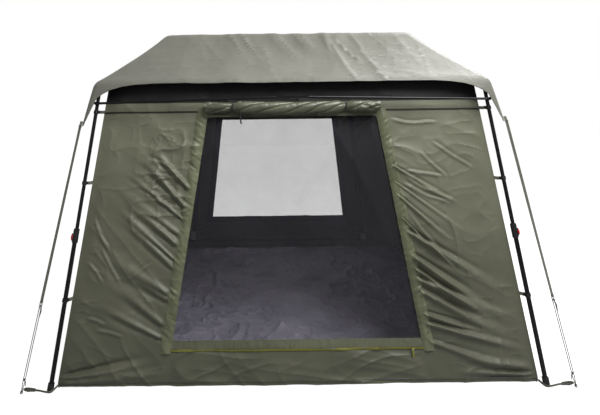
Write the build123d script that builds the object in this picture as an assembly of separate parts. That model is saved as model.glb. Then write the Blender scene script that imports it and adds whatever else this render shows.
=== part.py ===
from build123d import *
import math
import os

# Screen house: a square fabric shelter under a folding frame of four jointed legs.
# Millimetres. +X to the right seen from the door, -Y towards the door, +Z up.
# Origin: on the ground, in the middle of the four feet.

# Frame, measured in the upright plane through one leg and the shelter's centre line
HINGE_R = 85.0  # hub hinge, out from the centre line
ARM_Z = 2195.0  # axis of the level inner arms
KNEE_R = 1200.0
KNEE_DROP = 15.0  # knee pivot below both arm axes, so that they fold side by side
CORNER_R = 1760.0
CORNER_Z = 1830.0
FOOT_R = 2093.0  # where a leg's axis meets the ground

ARM_OUTER = 11.0
ARM_WALL = 1.5
LOWER_OUTER = 13.0
LOWER_BORE = 11.08
SOCKET_OUTER = 14.0
SOCKET_BORE = 11.05
EYE_OUTER = 11.5
EYE_WIDTH = 22.6
FORK_GAP = 23.4
CHEEK_ROUND = 12.5  # outer radius of a fork's cheeks about their pivot
CHEEK = 4.3
PIN_R = 4.0
PIN_BORE = 4.05
RIVET_R = 6.5
RIVET_HEAD = 2.0
NECK = 24.0  # solid end of an arm or leg, beside its eye
KNEE_SOCKET = (34.0, 74.0)  # socket's two ends, short of the knee pivot

# Leg, as distances down its axis from the corner pivot
UPPER_END = 1450.0
COLLAR_TOP = 905.0
COLLAR_END = 990.0
LOWER_TOP = 925.5
LOWER_END = 1850.0
FOOT_TOP = 1812.0
UPPER_CLIPS = (164.0, 620.0)
LOWER_CLIP = 1336.0
BAR_AT = 112.0

COLLAR_OUTER = 17.5
BOSS_SIZE = (44.0, 20.0)  # along the leg, across it
BOSS_FACE = 22.0
POCKET_FLOOR = 15.2
BUTTON_SIZE = (28.0, 13.8)
BUTTON_GAP = 0.1
BUTTON_SPAN = (18.5, 27.2)
BUTTON_AT = 955.0
FOOT_OUTER = 18.5

# Eave bars, front and rear, each in two halves that lap in the middle
BAR_OFFSET = 28.2  # from the leg's axis to the bar's axis
BAR_OUTER = 8.0
BAR_WALL = 1.2
BAR_EYE_WIDTH = 16.4
BAR_EYE_OUTER = 10.0
BAR_TILT = 1.29  # degrees that each half rises towards the middle
BOSS_R = 8.0
BOSS_END = 19.5
STUB_END = 37.0
STUB_HEAD = 40.0
LAP = 15.0  # each tongue's reach past the middle
LAP_GAP = 1.5  # from a tongue to the bars' common axis
TONGUE = 116.0
TONGUE_THICK = 4.0
TONGUE_HIGH = 14.0

# Fabric
ROOF_HALF = 880.0
ROOF_Z = 2222.0
EAVE_HALF = 1275.0
EAVE_Z = 1850.0
TAIL_HALF = 1335.0
TAIL_Z = 1585.0
CANOPY_THICK = 3.0
ARCH_HALF = 900.0
ARCH_Z = 1845.0
ARCH_FOOT = (1252.0, 1745.0)
TAIL_INNER = 1322.0
HEM_HALF = 1452.0
WALL_TOP_HALF = 1205.5
WALL_TOP = 1830.0
WALL_THICK = 3.0
SEAM = 1.0
DOOR_LOW = 205.0
DOOR_HIGH = 1625.0
DOOR_LOW_HALF = 770.0
DOOR_HIGH_HALF = 555.0
DOOR_GAP = 3.0
SHEET_HALF = 1440.0
SHEET_THICK = 3.0
ROLL_R = 42.0
ROLL_HALF = 560.0
ROLL_Z = 1690.0
SLIDER_X = 700.0
SLIDER_SIZE = (14.0, 6.0, 48.0)
SLIDER_Z = 174.0
GUY_R = 4.0
GUY_FOOT = (1640.0, 1500.0, 6.0)

CORNERS = {"front_right": -45, "rear_right": 45, "rear_left": 135, "front_left": 225}

os.makedirs("parts", exist_ok=True)


def save(name, *solids):
    """Write the solids of one node."""
    shape = solids[0] if len(solids) == 1 else Compound(children=list(solids))
    shape.label = name
    export_step(shape, f"parts/{name}.step")


def rod(start, direction, first, last, radius):
    """A round bar along direction, from first to last measured from start."""
    base = start + direction * first
    plane = Plane(origin=base, z_dir=direction)
    return Solid.make_cylinder(radius, last - first, plane)


def across(point, low, high, radius):
    """A round bar square to the folding plane, from low to high."""
    return rod(point, Vector(0, 1, 0), low, high, radius)


def flat(outline, low, high):
    """An outline drawn in the folding plane, given thickness from low to high across it."""
    plane = Plane(origin=(0, high, 0), x_dir=(1, 0, 0), z_dir=(0, -1, 0))
    return extrude(plane * outline, high - low)


def polygon(*points):
    """A closed outline from its corners."""
    return make_face(Polyline(*points, close=True))


def rivet(point):
    """A hinge pin with a flat head at each end."""
    reach = FORK_GAP / 2 + CHEEK + 0.2
    pin = across(point, -reach, reach, PIN_R)
    for low in (-reach - RIVET_HEAD, reach):
        pin += across(point, low, low + RIVET_HEAD, RIVET_R)
    return pin


hinge = Vector(HINGE_R, 0, ARM_Z)
knee = Vector(KNEE_R, 0, ARM_Z - KNEE_DROP)
corner = Vector(CORNER_R, 0, CORNER_Z)
foot_end = Vector(FOOT_R, 0, 0)
out = Vector(1, 0, 0)

# The outer arm's axis passes KNEE_DROP from the knee pivot and through the corner pivot.
span = corner - knee
slope = math.atan2(span.Z, span.X) - math.asin(KNEE_DROP / span.length)
arm_dir = Vector(math.cos(slope), 0, math.sin(slope))
arm_up = Vector(-math.sin(slope), 0, math.cos(slope))
arm_start = knee + arm_up * KNEE_DROP
arm_length = (corner - arm_start).length
leg_dir = (foot_end - corner).normalized()
leg_out = Vector(-leg_dir.Z, 0, leg_dir.X)


def make_inner_arm():
    """Level arm with its eye at the hub; the far end sits in the knee's socket."""
    end = KNEE_R - HINGE_R - KNEE_SOCKET[0] - 2
    arm = rod(hinge, out, 0, end, ARM_OUTER) + across(hinge, -EYE_WIDTH / 2, EYE_WIDTH / 2, EYE_OUTER)
    arm -= rod(hinge, out, NECK, end, ARM_OUTER - ARM_WALL)
    return arm - across(hinge, -EYE_WIDTH, EYE_WIDTH, PIN_BORE)


def fork(start, direction, first, last, pivot, pivot_r):
    """A socket round a tube's end, with two cheeks that reach to the pivot, and its pin."""
    side = Vector(-direction.Z, 0, direction.X)
    low = FORK_GAP / 2
    corners = [
        start + direction * first + side * SOCKET_OUTER,
        start + direction * last + side * SOCKET_OUTER,
        start + direction * last - side * SOCKET_OUTER,
        start + direction * first - side * SOCKET_OUTER,
    ]
    block = polygon(*[(c.X, c.Z) for c in corners])
    cheek = make_hull([*block.edges(), *(Pos(pivot.X, pivot.Z) * Circle(pivot_r)).edges()])
    body = rod(start, direction, first, last, SOCKET_OUTER)
    body += flat(cheek, low, low + CHEEK)
    body += flat(cheek, -low - CHEEK, -low)
    body -= rod(start, direction, first - 1, last + 1, SOCKET_BORE)
    body -= across(pivot, -low - CHEEK - 1, low + CHEEK + 1, PIN_BORE)
    return body


def make_outer_arm():
    """Sloping arm: an eye under its inner end, and a plain end in the corner joint."""
    end = arm_length - 40
    near = arm_start + arm_dir * 20
    far = arm_start + arm_dir * 46
    tops = [near + arm_up * ARM_OUTER, far + arm_up * ARM_OUTER]
    lows = [far - arm_up * ARM_OUTER, near - arm_up * ARM_OUTER]
    block = polygon(*[(c.X, c.Z) for c in tops + lows])
    link = make_hull([*block.edges(), *(Pos(knee.X, knee.Z) * Circle(EYE_OUTER)).edges()])
    arm = rod(arm_start, arm_dir, 22, end, ARM_OUTER)
    arm -= rod(arm_start, arm_dir, 50, end, ARM_OUTER - ARM_WALL)
    arm += flat(link, -9.5, 9.5)
    arm += across(knee, -EYE_WIDTH / 2, EYE_WIDTH / 2, EYE_OUTER)
    return arm - across(knee, -EYE_WIDTH, EYE_WIDTH, PIN_BORE)


def make_upper_leg():
    """The leg's inner tube, with the eye at the corner."""
    leg = rod(corner, leg_dir, 0, UPPER_END, ARM_OUTER)
    leg += across(corner, -EYE_WIDTH / 2, EYE_WIDTH / 2, EYE_OUTER)
    leg -= rod(corner, leg_dir, NECK, UPPER_END, ARM_OUTER - ARM_WALL)
    return leg - across(corner, -EYE_WIDTH, EYE_WIDTH, PIN_BORE)


def make_lower_leg():
    """The leg's outer tube."""
    leg = rod(corner, leg_dir, LOWER_TOP, LOWER_END, LOWER_OUTER)
    return leg - rod(corner, leg_dir, LOWER_TOP, LOWER_END, LOWER_BORE)


def make_collar():
    """Moulded collar on the lower leg's top, with a pocket for the button."""
    boss_plane = Plane(origin=corner + leg_dir * BUTTON_AT, x_dir=leg_dir, z_dir=leg_out)
    collar = rod(corner, leg_dir, COLLAR_TOP, COLLAR_END, COLLAR_OUTER)
    boss = extrude(boss_plane * RectangleRounded(*BOSS_SIZE, 5), BOSS_FACE)
    collar += boss
    collar -= rod(corner, leg_dir, COLLAR_TOP - 1, COLLAR_END + 1, ARM_OUTER + 0.08)
    collar -= rod(corner, leg_dir, LOWER_TOP - 0.5, COLLAR_END + 1, LOWER_OUTER + 0.05)
    long, wide = (size + 2 * BUTTON_GAP for size in BUTTON_SIZE)
    pocket = boss_plane.offset(POCKET_FLOOR) * SlotOverall(long, wide)
    return collar - extrude(pocket, BOSS_FACE)


def make_button():
    """Push button that frees the collar."""
    plane = Plane(origin=corner + leg_dir * BUTTON_AT, x_dir=leg_dir, z_dir=leg_out)
    low, high = BUTTON_SPAN
    button = extrude(plane.offset(low) * SlotOverall(*BUTTON_SIZE), high - low)
    return fillet(button.faces().sort_by(Axis((0, 0, 0), leg_out))[-1].edges(), 1.5)


def make_foot():
    """Cap under the leg, cut level with the ground."""
    foot = rod(corner, leg_dir, FOOT_TOP, LOWER_END + 20, FOOT_OUTER)
    foot -= rod(corner, leg_dir, FOOT_TOP - 1, LOWER_END + 0.2, LOWER_OUTER + 0.05)
    ground = Pos(FOOT_R, 0, -50) * Box(200, 200, 100)
    return foot - ground


def clip_ring(at, tube_r):
    """Spring clip round a leg, open on its outer side, with a bridge for the wall's tab."""
    height = 22.0
    bore = tube_r + 0.1
    ring = rod(corner, leg_dir, at - height / 2, at + height / 2, tube_r + 3.6)
    centre = corner + leg_dir * at
    plane = Plane(origin=centre, x_dir=leg_out, z_dir=leg_dir)
    ring += plane * Pos(-tube_r - 6, 0, 0) * Box(10, 14, 14)
    ring -= plane * Pos(-tube_r - 7.5, 0, 0) * Box(3, 20, 8)
    ring -= rod(corner, leg_dir, at - height, at + height, bore)
    return ring - plane * Pos(tube_r + 2, 0, 0) * Box(12, 11, height + 2)


def place(shape, turn):
    """Turn a piece from the drawing plane to its own corner."""
    return shape.rotate(Axis.Z, turn)


def bar_frame(turn):
    """Hinge axis, pivot and direction of the eave bar half at one corner."""
    down = leg_dir.rotate(Axis.Z, turn)
    at = (corner + leg_dir * BAR_AT).rotate(Axis.Z, turn)
    tilt = math.radians(BAR_TILT)
    inward = Vector(-math.copysign(math.cos(tilt), at.X), 0, math.sin(tilt))
    pin = inward.cross(down).normalized()
    if pin.Y * at.Y < 0:
        pin = pin * -1
    return at, pin, inward


def bar_lug(turn):
    """Spacer and headed stub on the leg, which carry an eave bar half."""
    at, pin, _ = bar_frame(turn)
    lug = rod(at, pin, ARM_OUTER - ARM_WALL / 2, BOSS_END, BOSS_R)
    lug += rod(at, pin, BOSS_END - 1, STUB_END + 1, PIN_R)
    return lug + rod(at, pin, STUB_END, STUB_HEAD, RIVET_R)


def make_bar(turn):
    """Half of a front or rear eave bar: eye, tube and flat tongue."""
    at, pin, inward = bar_frame(turn)
    pivot = at + pin * BAR_OFFSET
    reach = abs(pivot.X / inward.X) + LAP
    tube_end = reach - TONGUE
    half = BAR_EYE_WIDTH / 2
    bar = rod(pivot, inward, 0, tube_end, BAR_OUTER) + rod(pivot, pin, -half, half, BAR_EYE_OUTER)
    bar -= rod(pivot, inward, NECK, tube_end - 12, BAR_OUTER - BAR_WALL)
    bar -= rod(pivot, pin, -half - 1, half + 1, PIN_BORE)
    side = math.copysign(LAP_GAP + TONGUE_THICK / 2, inward.X)
    middle = pivot + inward * (tube_end - 4 + (TONGUE + 4) / 2) + Vector(0, side, 0)
    tongue = Plane(origin=middle, x_dir=inward, z_dir=(0, 1, 0)) * Box(TONGUE + 4, TONGUE_HIGH, TONGUE_THICK)
    return bar + tongue


def make_hub():
    """Centre casting with four forks, and the four pins."""
    low = FORK_GAP / 2
    body = Pos(0, 0, ARM_Z - 3) * Cylinder(46, 38)
    body = chamfer(body.faces().sort_by(Axis.Z)[0].edges(), 8)
    pins = []
    for turn in CORNERS.values():
        for side in (low, -low - CHEEK):
            cheek = Pos(64, side + CHEEK / 2, ARM_Z) * Box(66, CHEEK, 24)
            body += place(cheek, turn)
        body -= place(across(hinge, -low - CHEEK - 1, low + CHEEK + 1, PIN_BORE), turn)
        pins.append(place(rivet(hinge), turn))
    return body, *pins


def frustum(low_half, low_z, high_half, high_z):
    """Solid between two level squares."""
    low = Plane.XY.offset(low_z) * Rectangle(2 * low_half, 2 * low_half)
    high = Plane.XY.offset(high_z) * Rectangle(2 * high_half, 2 * high_half)
    return loft(Sketch() + [low, high])


def quarter(gap, high):
    """Prism over the front quarter of the plan, with a gap kept along its two diagonals."""
    reach = 2 * HEM_HALF
    return extrude(polygon((0, -gap), (-reach, -reach - gap), (reach, -reach - gap)), high)


def through_front(*points):
    """Prism through the front side alone, from an outline of (x, z) corners."""
    return flat(polygon(*points), -2 * HEM_HALF, 0)


def make_canopy():
    """Roof skin in sewn panels: a flat top, four slopes, and flaps and tails at the corners."""
    skin = CANOPY_THICK
    skirt = (TAIL_HALF - EAVE_HALF) / (EAVE_Z - TAIL_Z)
    inner = 1.4 * skin
    roof = frustum(EAVE_HALF, EAVE_Z, ROOF_HALF, ROOF_Z)
    roof -= frustum(EAVE_HALF - inner, EAVE_Z, ROOF_HALF - skin, ROOF_Z - skin)
    top_slab = Pos(0, 0, ROOF_Z - skin / 2) * Box(2 * HEM_HALF, 2 * HEM_HALF, skin)
    front = quarter(0, ROOF_Z)
    slope = (roof - top_slab) & front
    drop = frustum(TAIL_HALF, TAIL_Z, EAVE_HALF, EAVE_Z)
    drop -= frustum(TAIL_HALF - inner + skirt, TAIL_Z - 1, EAVE_HALF - inner - skirt, EAVE_Z + 1)
    drop &= front
    foot_x, foot_z = ARCH_FOOT
    low = TAIL_Z - 10
    panels = [slope]
    for side in (-1, 1):
        flap = [(ARCH_HALF, EAVE_Z), (foot_x, EAVE_Z), (foot_x, foot_z), (ARCH_HALF, ARCH_Z)]
        tail = [(foot_x, EAVE_Z), (HEM_HALF, EAVE_Z), (HEM_HALF, low), (TAIL_INNER, low), (foot_x, foot_z)]
        for outline in (flap, tail):
            panels.append(drop & through_front(*[(side * x, z) for x, z in outline]))
    return [roof & top_slab, *[place(panel, turn) for turn in (0, 90, 180, 270) for panel in panels]]


def wall_slope():
    """How far the walls lean in for each unit of height."""
    return (HEM_HALF - WALL_TOP_HALF) / WALL_TOP


def wall_face(z):
    """Distance of the walls' outer face from the centre, at one height."""
    return HEM_HALF - wall_slope() * z


def wall_shell():
    """All four walls in one skin."""
    lean = wall_slope()
    shell = frustum(HEM_HALF, 0, WALL_TOP_HALF, WALL_TOP)
    inner_low = HEM_HALF - WALL_THICK + lean
    return shell - frustum(inner_low, -1, WALL_TOP_HALF - WALL_THICK - lean, WALL_TOP + 1)


def door_edge(z):
    """Half the doorway's width at a height; the line runs on above and below the doorway."""
    return DOOR_LOW_HALF + (z - DOOR_LOW) * (DOOR_HIGH_HALF - DOOR_LOW_HALF) / (DOOR_HIGH - DOOR_LOW)


def make_walls():
    """Front wall in four panels round its doorway, the mesh door in it, and the three other walls."""
    shell = wall_shell()
    front_side = quarter(SEAM, WALL_TOP)
    front = shell & front_side
    others = [place(front, turn) for turn in (90, 180, 270)]
    outlines = []
    for side in (-1, 1):
        inner = [(side * door_edge(0), 0), (side * door_edge(WALL_TOP), WALL_TOP)]
        outlines.append([*inner, (side * HEM_HALF, WALL_TOP), (side * HEM_HALF, 0)])
    for low, high in ((0, DOOR_LOW), (DOOR_HIGH, WALL_TOP)):
        right = [(door_edge(low), low), (door_edge(high), high)]
        outlines.append(right + [(-x, z) for x, z in reversed(right)])
    low, high = DOOR_LOW + DOOR_GAP, DOOR_HIGH - DOOR_GAP
    wide, narrow = door_edge(low) - DOOR_GAP, door_edge(high) - DOOR_GAP
    door = front & through_front((-wide, low), (wide, low), (narrow, high), (-narrow, high))
    return [front & through_front(*outline) for outline in outlines], door, others


def make_guy(turn):
    """Taut guy from a canopy tail to its ground loop."""
    side_x = math.copysign(1, math.cos(math.radians(turn)))
    side_y = math.copysign(1, math.sin(math.radians(turn)))
    top = Vector(side_x * (TAIL_HALF + 4), side_y * (TAIL_HALF + 4), TAIL_Z - 6)
    foot = Vector(side_x * GUY_FOOT[0], side_y * GUY_FOOT[1], GUY_FOOT[2])
    line = foot - top
    return rod(top, line.normalized(), 0, line.length, GUY_R)


arm_reach = KNEE_R - HINGE_R
knee_fork = fork(hinge, out, arm_reach - KNEE_SOCKET[1], arm_reach - KNEE_SOCKET[0], knee, CHEEK_ROUND)
corner_fork = fork(arm_start, arm_dir, arm_length - 80, arm_length - 38, corner, CHEEK_ROUND)
one_corner = {
    "inner_arm": [make_inner_arm()],
    "knee_joint": [knee_fork, rivet(knee)],
    "outer_arm": [make_outer_arm()],
    "corner_joint": [corner_fork, rivet(corner)],
    "leg_clips": [clip_ring(at, ARM_OUTER) for at in UPPER_CLIPS],
    "lock_collar": [make_collar()],
    "lock_button": [make_button()],
    "lower_leg": [make_lower_leg()],
    "lower_clip": [clip_ring(LOWER_CLIP, LOWER_OUTER)],
    "foot": [make_foot()],
}
upper_leg = make_upper_leg()

for where, turn in CORNERS.items():
    for name, pieces in one_corner.items():
        save(f"{name}_{where}", *[place(piece, turn) for piece in pieces])
    save(f"upper_leg_{where}", place(upper_leg, turn) + bar_lug(turn))
    save(f"eave_bar_{where}", make_bar(turn))
    save(f"guy_{where}", make_guy(turn))

front_panels, mesh_door, other_walls = make_walls()
roll_y = -wall_face(ROLL_Z) - ROLL_R - 2
slider_y = -wall_face(SLIDER_Z - SLIDER_SIZE[2] / 2) - 2 - SLIDER_SIZE[1] / 2

save("hub", *make_hub())
save("canopy", *make_canopy())
save("front_wall", *front_panels)
save("mesh_door", mesh_door)
save("wall_panels", *other_walls)
save("groundsheet", Pos(0, 0, SHEET_THICK / 2) * Box(2 * SHEET_HALF, 2 * SHEET_HALF, SHEET_THICK))
save("door_roll", Pos(0, roll_y, ROLL_Z) * Rot(0, 90, 0) * Cylinder(ROLL_R, 2 * ROLL_HALF))
save("zip_slider", Pos(SLIDER_X, slider_y, SLIDER_Z) * Box(*SLIDER_SIZE))
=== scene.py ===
import math

import bpy
import numpy as np
from mathutils import Matrix, Vector


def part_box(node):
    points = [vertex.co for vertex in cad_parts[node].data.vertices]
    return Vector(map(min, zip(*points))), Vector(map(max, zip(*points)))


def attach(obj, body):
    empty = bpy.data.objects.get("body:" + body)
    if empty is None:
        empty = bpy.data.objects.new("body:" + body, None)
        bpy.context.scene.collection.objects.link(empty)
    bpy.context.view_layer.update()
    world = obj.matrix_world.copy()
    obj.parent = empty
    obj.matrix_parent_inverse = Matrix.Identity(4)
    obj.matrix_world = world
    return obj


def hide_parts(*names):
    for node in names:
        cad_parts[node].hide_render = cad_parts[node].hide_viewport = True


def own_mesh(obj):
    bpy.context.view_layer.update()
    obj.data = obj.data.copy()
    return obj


# Looks of the screen house. Metres, in the part's own frame: +X right, -Y towards the door, +Z up.

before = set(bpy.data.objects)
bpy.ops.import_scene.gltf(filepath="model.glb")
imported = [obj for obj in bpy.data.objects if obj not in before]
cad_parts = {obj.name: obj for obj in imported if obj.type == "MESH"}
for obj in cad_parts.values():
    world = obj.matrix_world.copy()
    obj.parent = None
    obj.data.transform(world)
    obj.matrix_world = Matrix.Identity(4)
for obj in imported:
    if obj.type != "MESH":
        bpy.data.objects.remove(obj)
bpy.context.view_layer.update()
SCENE = bpy.context.scene

# ---- Places taken from the frame, and the fabric's cut ----

canopy_low, canopy_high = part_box("canopy")
wall_low, wall_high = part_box("front_wall")
TAIL_HALF, TAIL_Z, ROOF_Z = canopy_high.x, canopy_low.z, canopy_high.z
HEM_HALF = -wall_low.y
WALL_TOP_Z = wall_high.z
WALL_TOP_HALF = -wall_high.y
LEAN = (HEM_HALF - WALL_TOP_HALF) / WALL_TOP_Z
ROOF_HALF, EAVE_HALF, EAVE_Z = 0.880, 1.275, 1.850
HEADER_Z = 1.862  # the walls reach a little higher than the frame's plain solids, between the arms
DOOR_LOW, DOOR_HIGH = 0.205, 1.625
DOOR_LOW_HALF, DOOR_HIGH_HALF = 0.770, 0.555
CLOTH = 0.0012  # how thick the cloth is
SHEET_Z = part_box("groundsheet")[1].z
DOOR_LAP = 0.004  # how far cloth stays off, or reaches past, the doorway's and window's edges
STRIP_WIDE = 0.064  # the folded-back strip along each side of the doorway
STITCH_ROWS = (0.038, 0.045)  # out from the doorway's edge
STITCH_PITCH, STITCH_LONG, STITCH_THICK = 0.0085, 0.0052, 0.0011
ZIP_Z = DOOR_LOW + 0.001
HEM_Z, HEM_TAPE_Z = 0.004, 0.022
BAND_Z = 1.722  # the eave bars' height; above it the walls are dark
SEAM_Z, SEAM_WIDE = 1.662, 0.011
WINDOW_LOW, WINDOW_HIGH = 0.430, 1.640
WINDOW_LOW_HALF, WINDOW_HIGH_HALF = 0.816, 0.668
WINDOW_BORDER = 0.070
BORDER_IN = -0.0030  # tapes on the inner side of the rear wall

SIDES = {  # outward direction and the way to the right, seen from outside
    "front": ((0, -1), (1, 0)),
    "right": ((1, 0), (0, 1)),
    "rear": ((0, 1), (-1, 0)),
    "left": ((-1, 0), (0, -1)),
}
CORNERS = {"front_right": (1, -1), "rear_right": (1, 1), "rear_left": (-1, 1), "front_left": (-1, -1)}
HALVES = ((False, "left"), (True, "right"))  # of a side, seen from outside


def corner_of(side, right):
    """The corner at the right or left end of a side."""
    out, across = SIDES[side]
    sign = 1 if right else -1
    x, y = out[0] + sign * across[0], out[1] + sign * across[1]
    return next(name for name, at in CORNERS.items() if at == (x, y))


def at_corner(corner, place):
    """A place given for the corner where x and y are positive, moved to another corner."""
    sx, sy = CORNERS[corner]
    return Vector((sx * place[0], sy * place[1], place[2]))


# ---- Camera ----

FOCAL_PX, IMAGE_WIDE = 438.0, 600
CAMERA_AT = (-0.211, -4.090, 1.571)
CAMERA_ROLL = math.radians(-0.70)
SHIFT = (0.067, -0.137)

camera = bpy.data.objects.new("camera", bpy.data.cameras.new("camera"))
SCENE.collection.objects.link(camera)
upright = Matrix.Rotation(math.pi / 2, 4, "X")
camera.matrix_world = Matrix.Translation(CAMERA_AT) @ upright @ Matrix.Rotation(CAMERA_ROLL, 4, "Z")
camera.data.sensor_width = 36.0
camera.data.lens = FOCAL_PX / IMAGE_WIDE * camera.data.sensor_width
camera.data.shift_x, camera.data.shift_y = SHIFT
SCENE.camera = camera

# ---- Noise ----


def lattice(cell, seed):
    """A repeatable number from 0 to 1 for each whole-number cell."""
    x, y, z = cell
    mixed = (x * 73856093) ^ (y * 19349663) ^ (z * 83492791) ^ (seed * 2654435761)
    mixed = (mixed ^ (mixed >> 13)) * 1274126177
    return ((mixed ^ (mixed >> 16)) & 0xFFFFFF) / 0xFFFFFF


def noise(x, y, z, seed):
    """Smooth value noise from 0 to 1."""
    parts = np.broadcast_arrays(x, y, z)
    cells = [np.floor(p).astype(np.int64) for p in parts]
    shares = [p - c for p, c in zip(parts, cells)]
    shares = [t * t * t * (t * (t * 6 - 15) + 10) for t in shares]
    total = 0.0
    for corner in range(8):
        steps = [(corner >> k) & 1 for k in range(3)]
        weight = 1.0
        for t, s in zip(shares, steps):
            weight = weight * (t if s else 1 - t)
        total = total + weight * lattice([c + s for c, s in zip(cells, steps)], seed)
    return total


def rough(x, y, z, seed, octaves=3):
    """Summed noise from -1 to 1."""
    total, size = 0.0, 0.0
    for k in range(octaves):
        share = 0.5**k
        total = total + share * (2 * noise(x * 2**k, y * 2**k, z * 2**k, seed + k) - 1)
        size += share
    return total / size


def creases(u, v, angle, length, width, seed):
    """Folds that run along a direction: long one way, sharp across, from 0 to 1."""
    c, s = math.cos(angle), math.sin(angle)
    along, over = u * c + v * s, -u * s + v * c
    bend = 0.35 * width * rough(along / length, over / length, 0, seed + 50, 2)
    ridge = 1 - np.abs(2 * noise(along / length, (over + bend) / width, 0.5, seed) - 1)
    return ridge**2.2


def fan(u, v, at, count, reach, seed):
    """Folds that spread from a point where the cloth is held, and die away with distance."""
    du, dv = u - at[0], v - at[1]
    r = np.hypot(du, dv)
    turn = np.arctan2(dv, du)
    ridge = 1 - np.abs(2 * noise(turn * count, r / reach * 0.8, 0.5, seed) - 1)
    return ridge**1.8 * np.exp(-r / reach) * step(r, 0.02, 0.45)


def step(x, low, high):
    """0 below low, 1 above high, smooth between."""
    t = np.clip((x - low) / (high - low), 0, 1)
    return t * t * (3 - 2 * t)


def crumple(u, v, size, seed):
    """Sharp random wrinkles, like those of thin coated cloth that has been packed away."""
    wu = u + 0.4 * size * rough(u / size, v / size, 0.3, seed, 2)
    wv = v + 0.4 * size * rough(u / size, v / size, 7.3, seed + 9, 2)
    wide = 1 - np.abs(2 * noise(wu / size, wv / size, 0.5, seed) - 1)
    fine = 1 - np.abs(2 * noise(wu / size * 2.1 + 3, wv / size * 2.1, 2.5, seed + 1) - 1)
    return wide**4 + 0.45 * fine**4


def lines(u, v, ends, width, height, seed):
    """Thin sharp creases, each between two places."""
    total = 0.0
    for k, (start, end) in enumerate(ends):
        du, dv = end[0] - start[0], end[1] - start[1]
        length = math.hypot(du, dv)
        along = ((u - start[0]) * du + (v - start[1]) * dv) / length**2
        over = ((v - start[1]) * du - (u - start[0]) * dv) / length
        over = over + 0.10 * length * (noise(along * 2.3, k, 0.5, seed) - 0.5)
        wave = np.exp(-((over / width) ** 2)) - 0.5 * np.exp(-(((over - 1.4 * width) / width) ** 2))
        total = total + height * wave * step(along, 0, 0.25) * (1 - step(along, 0.75, 1))
    return total


def pleat(u, v, start, end, width, height):
    """One fold: it starts full where the cloth is gathered, widens, and dies out towards its end."""
    du, dv = end[0] - start[0], end[1] - start[1]
    length = math.hypot(du, dv)
    along = ((u - start[0]) * du + (v - start[1]) * dv) / length**2
    over = ((v - start[1]) * du - (u - start[0]) * dv) / length
    wide = width * (0.55 + 0.9 * np.clip(along, 0, 1))
    wave = np.exp(-((over / wide) ** 2)) - 0.55 * np.exp(-(((over - 1.5 * wide) / (0.9 * wide)) ** 2))
    return height * wave * step(along, -0.03, 0.05) * (1 - step(along, 0.30, 1.0))


def spread(u, v, seed, count, starts, ends, width, height):
    """Many folds, from places along one line to places along another, each a little different."""
    total = 0.0
    for k in range(count):
        t = (k + 0.5) / count
        shift = [lattice((k, n, 7), seed) - 0.5 for n in range(6)]
        t = t + 0.8 * shift[0] / count
        start = [a + (b - a) * t for a, b in zip(*starts)]
        end = [a + (b - a) * t + 0.16 * j for a, b, j in zip(ends[0], ends[1], shift[2:4])]
        total = total + pleat(u, v, start, end, width * (1 + 0.7 * shift[4]), height * (1 + 0.9 * shift[5]))
    return total


# ---- Mesh tools ----


def new_piece(name, verts, faces, material, smooth=True):
    """A mesh object in the row frame."""
    mesh = bpy.data.meshes.new(name)
    mesh.from_pydata([tuple(v) for v in verts], [], [tuple(int(i) for i in f) for f in faces])
    mesh.validate()
    mesh.polygons.foreach_set("use_smooth", [smooth] * len(mesh.polygons))
    mesh.update()
    piece = bpy.data.objects.new(name, mesh)
    SCENE.collection.objects.link(piece)
    piece.data.materials.append(material)
    return piece


def grid_faces(rows, columns):
    """Quads of a grid whose points run along each row in turn."""
    r, c = np.meshgrid(np.arange(rows - 1), np.arange(columns - 1), indexing="ij")
    first = (r * columns + c).ravel()
    return np.stack([first, first + 1, first + columns + 1, first + columns], 1)


def surface_normals(surface, u, v):
    """Unit normals of a surface function, by small steps."""
    d = 1e-3
    du = surface(u + d, v) - surface(u - d, v)
    dv = surface(u, v + d) - surface(u, v - d)
    n = np.cross(du, dv)
    return n / np.maximum(np.linalg.norm(n, axis=-1, keepdims=True), 1e-12)


def cloth(name, surface, u, v, material, thick=CLOTH, lift=0.0):
    """A thin closed sheet over grid points (u, v) of a surface function, with the surface's own normals."""
    rows, columns = u.shape
    points = surface(u, v)
    normals = surface_normals(surface, u, v)
    outer = (points + normals * (lift + thick / 2)).reshape(-1, 3)
    inner = (points + normals * (lift - thick / 2)).reshape(-1, 3)
    count = rows * columns
    quads = grid_faces(rows, columns)
    rim = np.concatenate(
        [
            np.arange(columns),
            np.arange(1, rows) * columns + columns - 1,
            (rows - 1) * columns + np.arange(columns - 2, -1, -1),
            np.arange(rows - 2, 0, -1) * columns,
        ]
    )
    after = np.roll(rim, -1)
    sides = np.stack([after, rim, rim + count, after + count], 1)
    faces = np.concatenate([quads, quads[:, ::-1] + count, sides])
    piece = new_piece(name, np.concatenate([outer, inner]), faces, material)
    flat_uv = np.stack([u.ravel(), v.ravel()], 1)
    layer = piece.data.uv_layers.new(name="cloth")
    loops = np.zeros(len(piece.data.loops), np.int64)
    piece.data.loops.foreach_get("vertex_index", loops)
    layer.data.foreach_set("uv", np.concatenate([flat_uv, flat_uv])[loops].astype(np.float32).ravel())
    whole = normals.reshape(-1, 3)
    piece.data.normals_split_custom_set_from_vertices(np.concatenate([whole, -whole]).tolist())
    step_u = np.linalg.norm(np.diff(points, axis=1), axis=-1).sum(1).mean()
    step_v = np.linalg.norm(np.diff(points, axis=0), axis=-1).sum(0).mean()
    a = points[1:, 1:] - points[:-1, :-1]
    b = points[1:, :-1] - points[:-1, 1:]
    piece["flat_area"] = float(np.linalg.norm(np.cross(a, b), axis=-1).sum() / 2)
    piece["flat_size"] = [float(step_u), float(step_v)]
    return piece


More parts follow.
